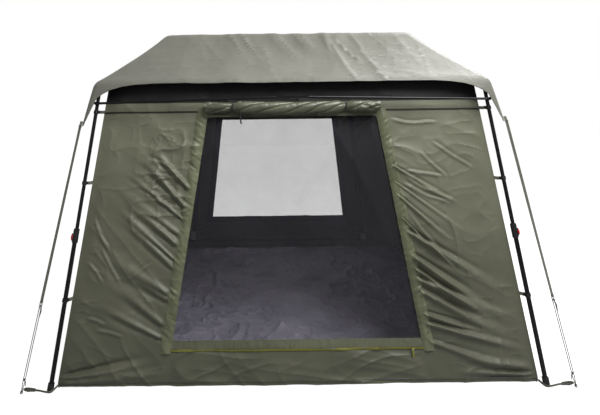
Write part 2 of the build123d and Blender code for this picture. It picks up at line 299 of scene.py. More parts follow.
def declare_sheet(piece):
    width, length = piece["flat_size"]
    area = piece["flat_area"]
    width, length = max(width, 0.011), max(length, 0.011)
    if area > width * length or area < 0.31 * width * length:
        scale = math.sqrt(area / (width * length) / 0.98)
        width, length = width * scale, length * scale
    return piece


def tube_mesh(name, path, radius, material, sides=12, closed=False):
    """A round cord or ring along points."""
    path = [Vector(p) for p in path]
    count = len(path)
    verts, faces = [], []
    normal = None
    for i, p in enumerate(path):
        before = path[i - 1] if (closed or i) else p
        after = path[(i + 1) % count] if (closed or i < count - 1) else p
        ahead = (after - before).normalized()
        if normal is None:
            normal = ahead.orthogonal().normalized()
        normal = (normal - ahead * normal.dot(ahead)).normalized()
        side = ahead.cross(normal)
        for k in range(sides):
            a = 2 * math.pi * k / sides
            verts.append(p + (normal * math.cos(a) + side * math.sin(a)) * radius)
    for i in range(count if closed else count - 1):
        for k in range(sides):
            j, m = (i + 1) % count, (k + 1) % sides
            faces.append((i * sides + k, i * sides + m, j * sides + m, j * sides + k))
    if not closed:
        faces.append(tuple(range(sides - 1, -1, -1)))
        faces.append(tuple((count - 1) * sides + k for k in range(sides)))
    return new_piece(name, verts, faces, material)


def ribbon(name, path, width_dir, width, thick, material):
    """A flat strap along points; width_dir is the way its width lies."""
    path = [Vector(p) for p in path]
    verts, faces, uvs = [], [], []
    run = 0.0
    for i, p in enumerate(path):
        before, after = path[max(i - 1, 0)], path[min(i + 1, len(path) - 1)]
        ahead = (after - before).normalized()
        wide = Vector(width_dir(i / (len(path) - 1)) if callable(width_dir) else width_dir)
        wide = (wide - ahead * wide.dot(ahead)).normalized()
        up = ahead.cross(wide)
        run += (p - path[i - 1]).length if i else 0.0
        for a, b in ((-1, -1), (1, -1), (1, 1), (-1, 1)):
            verts.append(p + wide * (a * width / 2) + up * (b * thick / 2))
            uvs.append((run, a * width / 2))
    for i in range(len(path) - 1):
        for k in range(4):
            m = (k + 1) % 4
            faces.append((4 * i + k, 4 * i + m, 4 * i + 4 + m, 4 * i + 4 + k))
    faces.append((3, 2, 1, 0))
    last = 4 * (len(path) - 1)
    faces.append((last, last + 1, last + 2, last + 3))
    strap = new_piece(name, verts, faces, material, smooth=False)
    layer = strap.data.uv_layers.new(name="cloth")
    for loop in strap.data.loops:
        layer.data[loop.index].uv = uvs[loop.vertex_index]
    return strap


def curve_points(points, count):
    """Points along a smooth curve through the given ones."""
    pts = [Vector(p) for p in points]
    pts = [pts[0] * 2 - pts[1], *pts, pts[-1] * 2 - pts[-2]]
    made = []
    spans = len(pts) - 3
    for i in range(count):
        t = i / (count - 1) * spans
        k = min(int(t), spans - 1)
        f = t - k
        a, b, c, d = pts[k : k + 4]
        square = (2 * a - 5 * b + 4 * c - d) * f * f
        cube = (3 * b - a - 3 * c + d) * f**3
        made.append(0.5 * (2 * b + (c - a) * f + square + cube))
    return made


# ---- Materials ----


class Nodes:
    """A small helper to build a material's node tree."""

    def __init__(self, name):
        self.material = bpy.data.materials.new(name)
        self.material.use_nodes = True
        self.tree = self.material.node_tree
        self.shader = self.tree.nodes["Principled BSDF"]

    def add(self, kind, **inputs):
        node = self.tree.nodes.new(kind)
        for key, value in inputs.items():
            self.put(node, key, value)
        return node

    def put(self, node, key, value):
        by_number = key[0] == "i" and key[1:].isdigit()
        self.fill(node.inputs[int(key[1:]) if by_number else key.replace("_", " ")], value)

    def fill(self, socket, value):
        if isinstance(value, bpy.types.NodeSocket):
            self.tree.links.new(value, socket)
        else:
            socket.default_value = value

    def place(self):
        return self.tree.nodes.new("ShaderNodeTexCoord").outputs["Object"]

    def cloth_place(self):
        uv = self.tree.nodes.new("ShaderNodeUVMap")
        uv.uv_map = "cloth"
        return self.add("ShaderNodeSeparateXYZ", Vector=uv.outputs[0]).outputs

    def math(self, operation, a, b=0.0, c=None):
        node = self.tree.nodes.new("ShaderNodeMath")
        node.operation = operation
        self.put(node, "i0", a)
        self.put(node, "i1", b)
        if c is not None:
            self.put(node, "i2", c)
        return node.outputs[0]

    def noise(self, where, scale, detail=3.0, roughness=0.55):
        node = self.add("ShaderNodeTexNoise", Vector=where, Scale=scale, Detail=detail, Roughness=roughness)
        return node.outputs["Fac"]

    def mix(self, share, a, b):
        node = self.tree.nodes.new("ShaderNodeMix")
        node.data_type = "RGBA"
        for number, value in ((0, share), (6, a), (7, b)):
            self.fill(node.inputs[number], value)
        return node.outputs[2]

    def ramp(self, value, low, high, a=0.0, b=1.0):
        node = self.add("ShaderNodeMapRange", Value=value)
        for key, number in (("From Min", low), ("From Max", high), ("To Min", a), ("To Max", b)):
            node.inputs[key].default_value = number
        return node.outputs[0]

    def bump(self, height, distance, strength=1.0, normal=None):
        node = self.add("ShaderNodeBump", Height=height, Distance=distance, Strength=strength)
        if normal is not None:
            self.put(node, "Normal", normal)
        return node.outputs[0]

    def surface(self, **inputs):
        for key, value in inputs.items():
            self.put(self.shader, key, value)


def rgb(r, g, b):
    """A colour given as it looks on screen, from 0 to 1, as scene-linear RGBA."""
    linear = [c / 12.92 if c <= 0.04045 else ((c + 0.055) / 1.055) ** 2.4 for c in (r, g, b)]
    return (*linear, 1.0)


def weave(n, pitch):
    """Height of a plain weave from the cloth's own coordinates, and those coordinates."""
    split = n.cloth_place()
    turn = 2 * math.pi / pitch
    across = n.math("SINE", n.math("MULTIPLY", split[0], turn))
    along = n.math("SINE", n.math("MULTIPLY", split[1], turn))
    return n.math("MULTIPLY", across, along), split


RIB_GAP = 0.006  # between the ripstop's ribs
CLOUD_SCALE = 2.2
LOW_PAINTED_SHADE = rgb(0.12, 0.125, 0.09)  # painted shade: the colour the walls darken to near the ground, by height


def make_fabric(name, light, dark, rough_low, rough_high, sheen, coat=0.0, pitch=0.0016, low=0.0):
    """Coated woven cloth: weave and rib bump, cloudy colour, dust and gloss that vary, and, with low, painted
    shade that darkens it towards the ground.
    """
    n = Nodes(name)
    where = n.place()
    cloud = n.noise(where, CLOUD_SCALE, 4.0, 0.6)
    speck = n.noise(where, 260.0, 2.0, 0.6)
    tone = n.mix(n.ramp(cloud, 0.32, 0.7), dark, light)
    wear_and_painted_shade = n.mix(n.ramp(speck, 0.35, 0.75, 0.0, 0.22), tone, light)
    # painted shade: with low, the colour darkens by the object's height towards the ground
    if low:
        up = n.add("ShaderNodeSeparateXYZ", Vector=where).outputs["Z"]
        wear_and_painted_shade = n.mix(n.ramp(up, 0.1, 1.5, low, 0.0), wear_and_painted_shade, LOW_PAINTED_SHADE)
    height, split = weave(n, pitch)
    ribs_u = n.ramp(n.math("PINGPONG", split[0], RIB_GAP / 2), 0.0, pitch / 2, 1.0, 0.0)
    ribs_v = n.ramp(n.math("PINGPONG", split[1], RIB_GAP / 2), 0.0, pitch / 2, 1.0, 0.0)
    ribs = n.math("MAXIMUM", ribs_u, ribs_v)
    fine = n.bump(n.math("ADD", n.math("MULTIPLY", height, 0.5), ribs), 0.00012, 0.55)
    soft = n.bump(n.noise(where, 38.0, 4.0, 0.6), 0.0016, 0.45, fine)
    n.surface(Base_Color=wear_and_painted_shade, Normal=soft, Roughness=n.ramp(cloud, 0.3, 0.7, rough_low, rough_high))
    n.surface(Sheen_Weight=sheen, Sheen_Roughness=0.45, Coat_Weight=coat, Coat_Roughness=0.28)
    n.shader.inputs["Specular IOR Level"].default_value = 0.4
    return n.material


def make_mesh(name, colour, clear, pitch=0.0022):
    """Insect mesh: dark threads with clear gaps."""
    n = Nodes(name)
    split = n.cloth_place()
    threads = [n.math("PINGPONG", split[k], pitch / 2) for k in (0, 1)]
    net = n.math("MAXIMUM", *[n.ramp(thread, 0.0, pitch * 0.22, 1.0, 0.0) for thread in threads])
    where = n.place()
    cloud = n.noise(where, 5.0, 4.0, 0.6)
    veil = n.ramp(cloud, 0.3, 0.7, 1 - clear - 0.05, 1 - clear - 0.03)
    solid = n.math("ADD", n.math("MULTIPLY", net, 0.16), veil)
    n.surface(Base_Color=n.mix(cloud, colour, rgb(0.15, 0.145, 0.17)), Roughness=0.75)
    n.surface(Alpha=solid)
    return n.material


def make_hard(name, colour, other, rough_low, rough_high, grain, depth, coat=0.0, metallic=0.0, gloss=0.5):
    """Moulded or coated hard surface: fine grain, rubbed patches and faint dust."""
    n = Nodes(name)
    where = n.place()
    wear = n.noise(where, 14.0, 5.0, 0.65)
    fine = n.noise(where, grain, 3.0, 0.6)
    n.surface(
        Base_Color=n.mix(n.ramp(wear, 0.45, 0.75), colour, other),
        Roughness=n.ramp(wear, 0.3, 0.7, rough_low, rough_high),
        Normal=n.bump(fine, depth, 0.6),
    )
    n.surface(Coat_Weight=coat, Coat_Roughness=0.2, Metallic=metallic)
    n.shader.inputs["Specular IOR Level"].default_value = gloss
    return n.material


def make_strap(name, light, dark, pitch=0.0024):
    """Narrow woven webbing with a herringbone rib."""
    n = Nodes(name)
    split = n.cloth_place()
    skew = n.math("ADD", split[0], n.math("ABSOLUTE", split[1]))
    rib = n.math("SINE", n.math("MULTIPLY", skew, 2 * math.pi / pitch))
    where = n.place()
    dirt = n.noise(where, 30.0, 4.0, 0.6)
    tone = n.mix(n.ramp(rib, -1.0, 1.0, 0.0, 0.8), dark, light)
    n.surface(Base_Color=n.mix(n.ramp(dirt, 0.4, 0.8, 0.0, 0.5), tone, dark), Roughness=0.8)
    n.surface(Normal=n.bump(rib, 0.0004, 0.8), Sheen_Weight=0.3)
    return n.material


CANOPY = make_fabric(
    "canopy_cloth", rgb(0.435, 0.435, 0.40), rgb(0.38, 0.38, 0.345), 0.44, 0.56, 0.12, coat=0.08
)
# painted shade: low=0.42 darkens the walls' colour towards the ground
WALL = make_fabric(
    "wall_cloth", rgb(0.43, 0.435, 0.36), rgb(0.37, 0.375, 0.305), 0.42, 0.58, 0.2, coat=0.08, low=0.42
)
TRIM = make_fabric("trim_cloth", rgb(0.40, 0.41, 0.33), rgb(0.31, 0.32, 0.25), 0.55, 0.7, 0.25, pitch=0.0012)
# near-black cloth for the walls above the eave bars, under the canopy's edge
DARK_UPPER_BAND = make_fabric(
    "dark_upper_band", rgb(0.07, 0.07, 0.07), rgb(0.045, 0.045, 0.045), 0.6, 0.75, 0.05, pitch=0.0012
)
FLOOR_CLOTH = make_fabric(
    "groundsheet_cloth", rgb(0.74, 0.72, 0.79), rgb(0.58, 0.565, 0.63), 0.38, 0.5, 0.1, coat=0.1
)
CANOPY_TAPE = make_fabric(
    "canopy_tape", rgb(0.44, 0.44, 0.40), rgb(0.36, 0.36, 0.32), 0.4, 0.55, 0.2, pitch=0.0012
)
EDGE_CLOTH = make_fabric(
    "door_edge_cloth", rgb(0.45, 0.465, 0.36), rgb(0.33, 0.345, 0.25), 0.38, 0.52, 0.2, coat=0.15
)
# painted shadow: the seam line across the walls is drawn dark for the shadow under the seam's flap
SEAM_SHADOW_CLOTH = make_fabric(
    "seam_painted_shadow", rgb(0.13, 0.135, 0.10), rgb(0.08, 0.085, 0.06), 0.6, 0.75, 0.1, pitch=0.0012
)
BORDER = make_fabric(
    "border_tape", rgb(0.24, 0.22, 0.31), rgb(0.17, 0.155, 0.22), 0.55, 0.7, 0.1, pitch=0.0012
)
ROLLED = make_fabric("rolled_cloth", rgb(0.40, 0.41, 0.33), rgb(0.20, 0.21, 0.15), 0.26, 0.40, 0.1, coat=0.35)
ZIP_TAPE = make_fabric("zip_tape", rgb(0.44, 0.43, 0.18), rgb(0.34, 0.34, 0.14), 0.5, 0.65, 0.1, pitch=0.0010)
SHINY = make_fabric(
    "shiny_tab", rgb(0.93, 0.93, 0.95), rgb(0.78, 0.78, 0.82), 0.2, 0.3, 0.0, coat=0.6, pitch=0.0012
)
DOOR_MESH = make_mesh("insect_mesh", rgb(0.25, 0.245, 0.27), 0.80)
MESH = make_mesh("window_mesh", rgb(0.40, 0.40, 0.41), 0.91)
TUBE = make_hard(
    "black_tube", rgb(0.03, 0.03, 0.035), rgb(0.07, 0.065, 0.08), 0.3, 0.42, 900.0, 0.00005,
    coat=0.3, gloss=0.22,
)
PLASTIC = make_hard(
    "black_plastic", rgb(0.06, 0.06, 0.065), rgb(0.10, 0.10, 0.105), 0.42, 0.58, 1400.0, 0.00006
)
RED = make_hard(
    "red_plastic", rgb(0.80, 0.07, 0.10), rgb(0.66, 0.04, 0.07), 0.28, 0.4, 1200.0, 0.00003, coat=0.4
)
RUBBER = make_hard("rubber", rgb(0.10, 0.10, 0.10), rgb(0.17, 0.165, 0.155), 0.6, 0.8, 500.0, 0.00015)
STEEL = make_hard(
    "zip_metal", rgb(0.75, 0.75, 0.72), rgb(0.55, 0.55, 0.52), 0.2, 0.35, 700.0, 0.00003, metallic=1.0
)
ZIP_LIME = make_hard("zip_lime", rgb(0.52, 0.52, 0.20), rgb(0.42, 0.43, 0.16), 0.35, 0.5, 900.0, 0.0001)
WEB = make_strap("webbing", rgb(0.44, 0.46, 0.40), rgb(0.31, 0.33, 0.27))
BLACK_WEB = make_strap("black_webbing", rgb(0.09, 0.09, 0.09), rgb(0.05, 0.05, 0.05))
CORD = make_strap("guy_cord", rgb(0.34, 0.31, 0.34), rgb(0.23, 0.21, 0.23), 0.0016)
THREAD = make_strap("thread", rgb(0.42, 0.43, 0.34), rgb(0.30, 0.31, 0.24), 0.0012)

# ---- Frame pieces keep their shape and get their materials ----

PAINT = {
    "inner_arm": TUBE,
    "outer_arm": TUBE,
    "upper_leg": TUBE,
    "lower_leg": TUBE,
    "eave_bar": TUBE,
    "knee_joint": PLASTIC,
    "corner_joint": PLASTIC,
    "leg_clips": PLASTIC,
    "lower_clip": PLASTIC,
    "lock_collar": PLASTIC,
    "lock_button": RED,
    "foot": RUBBER,
    "hub": PLASTIC,
}
for node_name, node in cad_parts.items():
    for start, material in PAINT.items():
        if node_name.startswith(start):
            for material_slot in node.material_slots:
                material_slot.material = material

# ---- How soft pieces go with the folding frame ----


def hang_on_leg(piece, corner, body="upper_leg"):
    """Wall cloth: rides on a leg."""
    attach(piece, f"{body}_{corner}")
    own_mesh(piece)
    return piece


# ---- Canopy ----

# The lower edge between two tails: places out from the middle and their heights
ARCH = (
    (0, 1.845), (0.900, 1.845), (1.02, 1.838), (1.10, 1.826), (1.160, 1.808), (1.21, 1.782), (1.252, 1.745),
)
ARCH_FOOT_U = ARCH[-1][0] / 1.2988  # as a share of the canopy's half width at that height
EDGE_HALF = 1.29  # the canopy's half width along the arch
TAIL_INNER_U = 0.990  # where the tail's edge reaches the bottom
TAIL_SPLIT = 1.800  # height where the tails are joined to the slopes
ROUND = 0.027  # radius of the ridges and knees
HALF_COLUMNS = 44
KNEE_U, TAIL_END_U = 0.862, 0.985  # where the arch drops below the split, and where the tail's tape ends
EDGE_WIDE, EDGE_PAST = 0.014, 0.0015

profile_b = [0.0, ROOF_HALF, EAVE_HALF, TAIL_HALF]
profile_z = [ROOF_Z, ROOF_Z, EAVE_Z, TAIL_Z]
profile_s = np.concatenate([[0.0], np.cumsum(np.hypot(np.diff(profile_b), np.diff(profile_z)))])
EAVE_S, END_S = profile_s[2], profile_s[3]


def raw_canopy(qx, qy):
    """The roof's folded outline over a flat map whose distances run down the slopes."""
    m = np.maximum(np.abs(qx), np.abs(qy))
    b = np.interp(m, profile_s, profile_b) + np.maximum(m - END_S, 0) * 0.22
    z = np.interp(m, profile_s, profile_z) - np.maximum(m - END_S, 0)
    share = b / np.maximum(m, 1e-9)
    return np.stack([qx * share, qy * share, z], -1)


def canopy_height(p):
    """How far the roof cloth stands off its taut shape, along the normal."""
    x, y, z = p[..., 0], p[..., 1], p[..., 2]
    side_a = np.where(np.abs(x) > np.abs(y), y, x)
    b = np.maximum(np.abs(x), np.abs(y))
    slope = step(b, ROOF_HALF - 0.04, ROOF_HALF + 0.06)
    free = np.clip(1 - (side_a / np.maximum(b, 0.05)) ** 2, 0, 1)
    drop = np.clip((b - ROOF_HALF) / (EAVE_HALF - ROOF_HALF), 0, 1)
    sag = -0.014 * free * slope * np.sin(drop * math.pi) ** 0.8
    crown = 0.014 * np.exp(-(((b - ROOF_HALF) / 0.10) ** 2))
    crown = crown + 0.006 * np.exp(-(((b - EAVE_HALF) / 0.05) ** 2))
    top = (1 - slope) * (0.010 + 0.006 * rough(x * 2.1, y * 2.1, 3, 11))
    u = side_a + 0.7 * np.where(np.abs(x) > np.abs(y), np.sign(x), np.sign(y) * 1.7)
    high = 1 - step(drop, 0.15, 0.75)
    middle = 1 - step(np.abs(side_a), 0.35, 0.75)
    pulled = 0.010 * (creases(u, b, math.radians(52), 0.40, 0.075, 21) - 0.3) * high * middle
    wave = 0.007 * (creases(u, b, math.radians(68), 0.7, 0.16, 22) - 0.4)
    fine = 0.0035 * (crumple(u, b * 1.3, 0.11, 31) - 0.2) * (0.35 + 0.65 * noise(u * 2.2, b * 3, 0.5, 32))
    ripple = 0.006 * (creases(u, z + b, math.radians(5), 0.5, 0.06, 41) - 0.3) * step(b, 1.08, 1.24)
    held = step(free, 0.0, 0.25)
    return sag + crown + top + (pulled + wave + fine + ripple) * held * (0.35 + 0.65 * slope)


def smooth_canopy(qx, qy):
    """The roof with rounded ridges and knees."""
    total = raw_canopy(qx, qy) * 2
    for k in range(8):
        turn = 2 * math.pi * k / 8
        total = total + raw_canopy(qx + ROUND * math.cos(turn), qy + ROUND * math.sin(turn))
    return total / 10


def canopy_surface(side):
    """The roof's surface over one side: u is the place across as a share, v the distance from the centre."""
    out, across = SIDES[side]

    def surface(u, v):
        qx = out[0] * v + across[0] * u * v
        qy = out[1] * v + across[1] * u * v
        d = 2e-3
        p = smooth_canopy(qx, qy)
        normal = np.cross(smooth_canopy(qx + d, qy) - p, smooth_canopy(qx, qy + d) - p)
        normal /= np.maximum(np.linalg.norm(normal, axis=-1, keepdims=True), 1e-12)
        return p + normal * canopy_height(p)[..., None]

    return surface


def lower_edge(u):
    """Height of the canopy's lower edge at a share across."""
    u = np.abs(u)
    places, heights = zip(*ARCH)
    arch = np.interp(u * EDGE_HALF, places, heights)
    tail = np.interp(u, [ARCH_FOOT_U, TAIL_INNER_U], [heights[-1], TAIL_Z])
    return np.where(u > ARCH_FOOT_U, tail, arch)


def depth_of(z):
    """Distance down the cloth to a height below the eave."""
    return EAVE_S + (EAVE_Z - z) * (END_S - EAVE_S) / (EAVE_Z - TAIL_Z)


def half_columns(right):
    """Shares across one half of a side, closer together near the corner."""
    u = np.concatenate([np.linspace(0, 0.9, HALF_COLUMNS), np.linspace(0.9, ARCH_FOOT_U, 9)[1:],
                        np.linspace(ARCH_FOOT_U, TAIL_INNER_U, 7)[1:], [1.0]])
    return u if right else -u[::-1]


def make_canopy():
    """Roof in pieces that meet in the frame's own planes: four tops and eight slopes."""
    for corner, (sx, sy) in CORNERS.items():
        grid = np.linspace(0, 1, 46)
        qx, qy = np.meshgrid(grid * ROOF_HALF * sx, grid * ROOF_HALF * sy)
        if sx * sy < 0:
            qx, qy = qx[:, ::-1], qy[:, ::-1]

        def top_surface(a, b):
            p = smooth_canopy(a, b)
            return p + np.array([0, 0, 1.0]) * canopy_height(p)[..., None]

        top = cloth(f"canopy_top_{corner}", top_surface, qx, qy, CANOPY)
        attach(top, f"inner_arm_{corner}")
        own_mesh(top)
        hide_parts("canopy")
        declare_sheet(top)
    for side in SIDES:
        for right, word in HALVES:
            corner = corner_of(side, right)
            u = half_columns(right)
            low_z = np.maximum(lower_edge(u), TAIL_SPLIT)
            share = np.linspace(0, 1, 40)[:, None]
            v = ROOF_HALF + share * (depth_of(low_z)[None, :] - ROOF_HALF)
            u_grid = np.broadcast_to(u, v.shape)
            slope = cloth(f"canopy_{side}_{word}", canopy_surface(side), u_grid, v, CANOPY)
            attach(slope, f"outer_arm_{corner}")
            sx, sy = CORNERS[corner]
            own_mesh(slope)
            declare_sheet(slope)


def make_tails():
    """The canopy's corner flaps, each with a pointed tail for its guy."""
    for side in SIDES:
        for right, word in HALVES:
            corner = corner_of(side, right)
            u = half_columns(right)
            keep = lower_edge(u) < TAIL_SPLIT
            u = u[keep]
            share = np.linspace(0, 1, 24)[:, None]
            top, low = depth_of(TAIL_SPLIT), depth_of(lower_edge(u))[None, :]
            v = top + share * (low - top)
            u_grid = np.broadcast_to(u, v.shape)
            tail = cloth(f"canopy_tail_{side}_{word}", canopy_surface(side), u_grid, v, CANOPY)
            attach(tail, f"upper_leg_{corner}")
            declare_sheet(tail)


# ---- Walls ----


def door_half(z):
    """Half the doorway's width at a height."""
    return DOOR_LOW_HALF + (z - DOOR_LOW) * (DOOR_HIGH_HALF - DOOR_LOW_HALF) / (DOOR_HIGH - DOOR_LOW)


# Single sharp creases on the front panels, from place to place across and up the wall
RIGHT_CREASES = (
    ((0.66, 1.24), (1.06, 1.07)), ((0.68, 1.20), (1.00, 1.03)), ((0.88, 1.46), (1.16, 1.26)),
    ((0.70, 1.02), (0.98, 0.70)), ((0.74, 0.86), (1.00, 0.66)), ((0.68, 1.27), (0.98, 1.22)),
    ((0.62, 1.60), (0.96, 1.57)), ((0.80, 1.40), (0.99, 1.22)),
)
LEFT_CREASES = (
    ((-1.27, 1.02), (-1.16, 0.76)), ((-1.30, 0.74), (-1.18, 0.60)), ((-1.22, 0.84), (-1.08, 0.58)),
    ((-1.24, 0.33), (-1.05, 0.29)), ((-1.30, 0.40), (-1.16, 0.36)), ((-0.98, 1.16), (-0.72, 1.05)),
    ((-0.96, 1.27), (-0.70, 1.24)), ((-0.94, 1.36), (-0.76, 1.30)), ((-1.04, 0.62), (-0.88, 0.72)),
)
# Folds: half of the wall, seed, how many, the lines they start and end on, width and height of each
FRONT_PLEATS = (
    ("right", 201, 8, ((0.82, 0.18), (0.70, 0.92)), ((1.44, 0.02), (1.30, 0.50)), 0.024, 0.024),
    ("right", 202, 4, ((0.68, 0.95), (0.62, 1.38)), ((1.06, 0.52), (1.02, 1.20)), 0.011, 0.010),
    ("right", 203, 3, ((1.43, 0.03), (1.42, 0.12)), ((0.95, 0.02), (0.95, 0.22)), 0.022, 0.014),
    ("left", 204, 5, ((-0.66, 1.20), (-0.74, 0.80)), ((-0.98, 1.42), (-1.16, 1.14)), 0.020, 0.016),
    ("left", 205, 6, ((-0.74, 0.80), (-0.83, 0.25)), ((-1.10, 1.12), (-1.22, 0.52)), 0.022, 0.015),
    ("left", 206, 3, ((-1.45, 0.02), (-1.44, 0.07)), ((-0.75, 0.05), (-0.78, 0.24)), 0.024, 0.020),
)


def front_height(a, z):
    """Folds of the front wall: pulled from the door's stitched edges towards the corners."""
    edge = step(HEM_HALF - LEAN * z - np.abs(a), 0.0, 0.09)
    off = np.abs(a) - door_half(z)
    clear = 0.25 + 0.75 * step(np.abs(off), 0.0, 0.07)
    right, left = step(a, 0.0, 0.1), step(-a, 0.0, 0.1)
    half_of = {"right": right, "left": left}
    wall = step(np.abs(off), 0.0, 0.02) * step(off, -0.01, 0.03)
    h = 0.0
    for half, seed, count, starts, ends, width, height in FRONT_PLEATS:
        h = h + half_of[half] * spread(a, z, seed, count, starts, ends, width, height)
    h = h + lines(a, z, RIGHT_CREASES, 0.011, 0.0065, 213) + lines(a, z, LEFT_CREASES, 0.011, 0.0065, 214)
    mid = step(z, 0.75, 1.15) * step(1.66 - z, 0.0, 0.25)
    h = h + 0.012 * (crumple(a, z * 1.5, 0.16, 215) - 0.25) * left * mid * (1 - step(off, 0.22, 0.50))
    h = h + 0.007 * (crumple(a, z * 1.3, 0.22, 216) - 0.25) * wall
    sill = step(door_half(z) - np.abs(a), 0.0, 0.05)
    h = h + sill * 0.011 * (creases(a, z, math.radians(-7), 0.5, 0.055, 207) - 0.3)
    h = h + sill * 0.008 * (creases(a, z, math.radians(18), 0.25, 0.07, 208) - 0.3)
    h = h + 0.007 * (creases(a, z, math.radians(-48), 0.35, 0.10, 209) - 0.3) * left
    h = h + 0.006 * (creases(a, z, math.radians(-24), 0.40, 0.12, 210) - 0.3) * right
    h = h + 0.010 * rough(a * 1.6, z * 1.3, 1, 65)
    top = step(HEADER_Z - z, 0.0, 0.25)
    return h * edge * clear * (0.3 + 0.7 * top)


def plain_height(a, z, seed):
    """Folds of a side or rear wall."""
    edge = step(HEM_HALF - LEAN * z - np.abs(a), 0.0, 0.12)
    h = 0.012 * creases(a, z, math.radians(64), 0.9, 0.22, seed)
    h = h + 0.010 * creases(a, z, math.radians(-60), 0.9, 0.25, seed + 1)
    h = h + 0.020 * fan(a, z, (1.43, 0.0), 7, 0.6, seed + 2)
    h = h + 0.020 * fan(a, z, (-1.43, 0.0), 7, 0.6, seed + 3)
    for sign in (-1, 1):
        starts, ends = ((sign * 1.42, 0.03), (sign * 1.42, 0.15)), ((sign * 0.7, 0.05), (sign * 0.6, 0.45))
        h = h + spread(a, z, seed + 5 + sign, 4, starts, ends, 0.024, 0.012)
        starts, ends = ((sign * 1.23, 1.60), (sign * 1.23, 1.72)), ((sign * 0.6, 1.25), (sign * 0.5, 1.70))
        h = h + spread(a, z, seed + 8 + sign, 4, starts, ends, 0.020, 0.008)
    return (h + 0.008 * rough(a * 1.5, z * 1.2, 2, seed + 4)) * edge


WALL_SEEDS = {"right": 70, "rear": 80, "left": 90}


def wall_surface(side):
    """The wall's surface: u runs to the right seen from outside, v is the height."""
    out, across = SIDES[side]

    def surface(u, v):
        height = front_height(u, v) if side == "front" else plain_height(u, v, WALL_SEEDS[side])
        tuck = 0.012 * step(0.035 - v, 0.0, 0.035)
        b = HEM_HALF - LEAN * v + height - tuck
        x = out[0] * b + across[0] * u
        y = out[1] * b + across[1] * u
        return np.stack([x, y, v + LEAN * height], -1)

    return surface


def between(left, right, z, columns):
    """Grid of places from a left edge to a right edge, both given at each height."""
    share = np.linspace(0, 1, columns)[None, :]
    v = np.repeat(z[:, None], columns, 1)
    u = left[:, None] + share * (right - left)[:, None]
    return u, v


def wall_half(z):
    """Half the wall's width at a height."""
    return HEM_HALF - LEAN * z


def half_wall(
    name, right, inner, outer, z_range, grid, material=WALL, side="front", by=(0.0, 0.0), **options
):
    """A panel of wall cloth between two edges, given by distance from the middle and how much to add."""
    z = np.linspace(*z_range, grid[0])
    sign = 1 if right else -1
    edges = (sign * (inner(z) + by[0]), sign * (outer(z) + by[1]))
    u, v = between(*(edges if right else edges[::-1]), z, grid[1])
    piece = cloth(name, wall_surface(side), u, v, material, **options)
    corner = corner_of(side, right)
    hang_on_leg(piece, corner)
    declare_sheet(piece)
    return piece


def zero(z):
    """The wall's middle line."""
    return 0 * z


def make_walls():
    """Front wall round its doorway, two side walls in halves, and the rear wall round its window."""
    full = (HEM_Z, BAND_Z)
    window = (WINDOW_LOW, WINDOW_HIGH)
    seam_z = (SEAM_Z - SEAM_WIDE / 2, SEAM_Z + SEAM_WIDE / 2)
    for right, word in HALVES:
        panel = half_wall(f"front_panel_{word}", right, door_half, wall_half, full, (240, 110))
        if right:
            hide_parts("front_wall", "wall_panels")
        half_wall(f"front_sill_{word}", right, zero, door_half, (HEM_Z, DOOR_LOW - DOOR_LAP), (36, 130))
        half_wall(f"front_header_{word}", right, zero, door_half, (DOOR_HIGH, BAND_Z), (14, 60))
        for side in ("right", "left"):
            half_wall(f"{side}_wall_{word}", right, zero, wall_half, full, (150, 120), side=side)
        half_wall(f"rear_panel_{word}", right, window_half, wall_half, full, (150, 70), side="rear")
        half_wall(f"rear_sill_{word}", right, zero, window_half, (HEM_Z, WINDOW_LOW), (40, 76), side="rear")
        over = (WINDOW_HIGH, BAND_Z)
        half_wall(f"rear_header_{word}", right, zero, window_half, over, (10, 60), side="rear")
        mesh = half_wall(f"rear_window_{word}", right, zero, window_half, window, (60, 44), MESH, "rear")
        for side in SIDES:
            half_wall(f"{side}_upper_band_{word}", right, zero, wall_half, (BAND_Z, HEADER_Z), (10, 90),
                      DARK_UPPER_BAND, side)
            half_wall(f"{side}_hem_{word}", right, zero, wall_half, (HEM_Z, HEM_TAPE_Z), (5, 200),
                      TRIM, side, lift=0.0016)
            # a real seam; its dark colour is painted shadow under its flap
            seam_from, more = (door_half, STRIP_WIDE) if side == "front" else (zero, 0.0)
            half_wall(f"{side}_seam_{word}", right, seam_from, wall_half, seam_z, (3, 120),
                      SEAM_SHADOW_CLOTH, side, (more, 0.0), lift=0.0020)


def make_strips():
    """Folded-back edges of the doorway, with a puckered, stitched channel along each."""
    base = wall_surface("front")
    for right, word in HALVES:
        sign = 1 if right else -1

        def gathered(u, v, sign=sign):
            over = (np.abs(u) - door_half(v)) / STRIP_WIDE
            slant = v - 0.7 * sign * u
            pucker = 0.014 * (noise(slant / 0.050, over * 0.8, 0.5, 211) - 0.5) * step(over, 0.15, 0.80)
            ripple = 0.008 * (noise(slant / 0.021, over * 1.5, 3.5, 212) - 0.5)
            crown = 0.011 * np.sin(np.clip(over, 0, 1) * math.pi) ** 0.7
            p = base(u, v)
            out = np.zeros_like(p)
            out[..., 1] = -(0.002 + crown + pucker + ripple)
            out[..., 2] = LEAN * (crown + pucker)
            return p + out

        z = np.linspace(DOOR_LOW - 0.015, DOOR_HIGH + 0.06, 420)
        edges = (sign * (door_half(z) - DOOR_LAP), sign * (door_half(z) + STRIP_WIDE))
        u, v = between(*(edges if right else edges[::-1]), z, 18)
        strip = cloth(f"door_edge_{word}", gathered, u, v, EDGE_CLOTH)
        hang_on_leg(strip, corner_of("front", right))
        declare_sheet(strip)
        stitch_piece(f"door_stitches_{word}", gathered, right, z[0] + 0.02, z[-1] - 0.02)


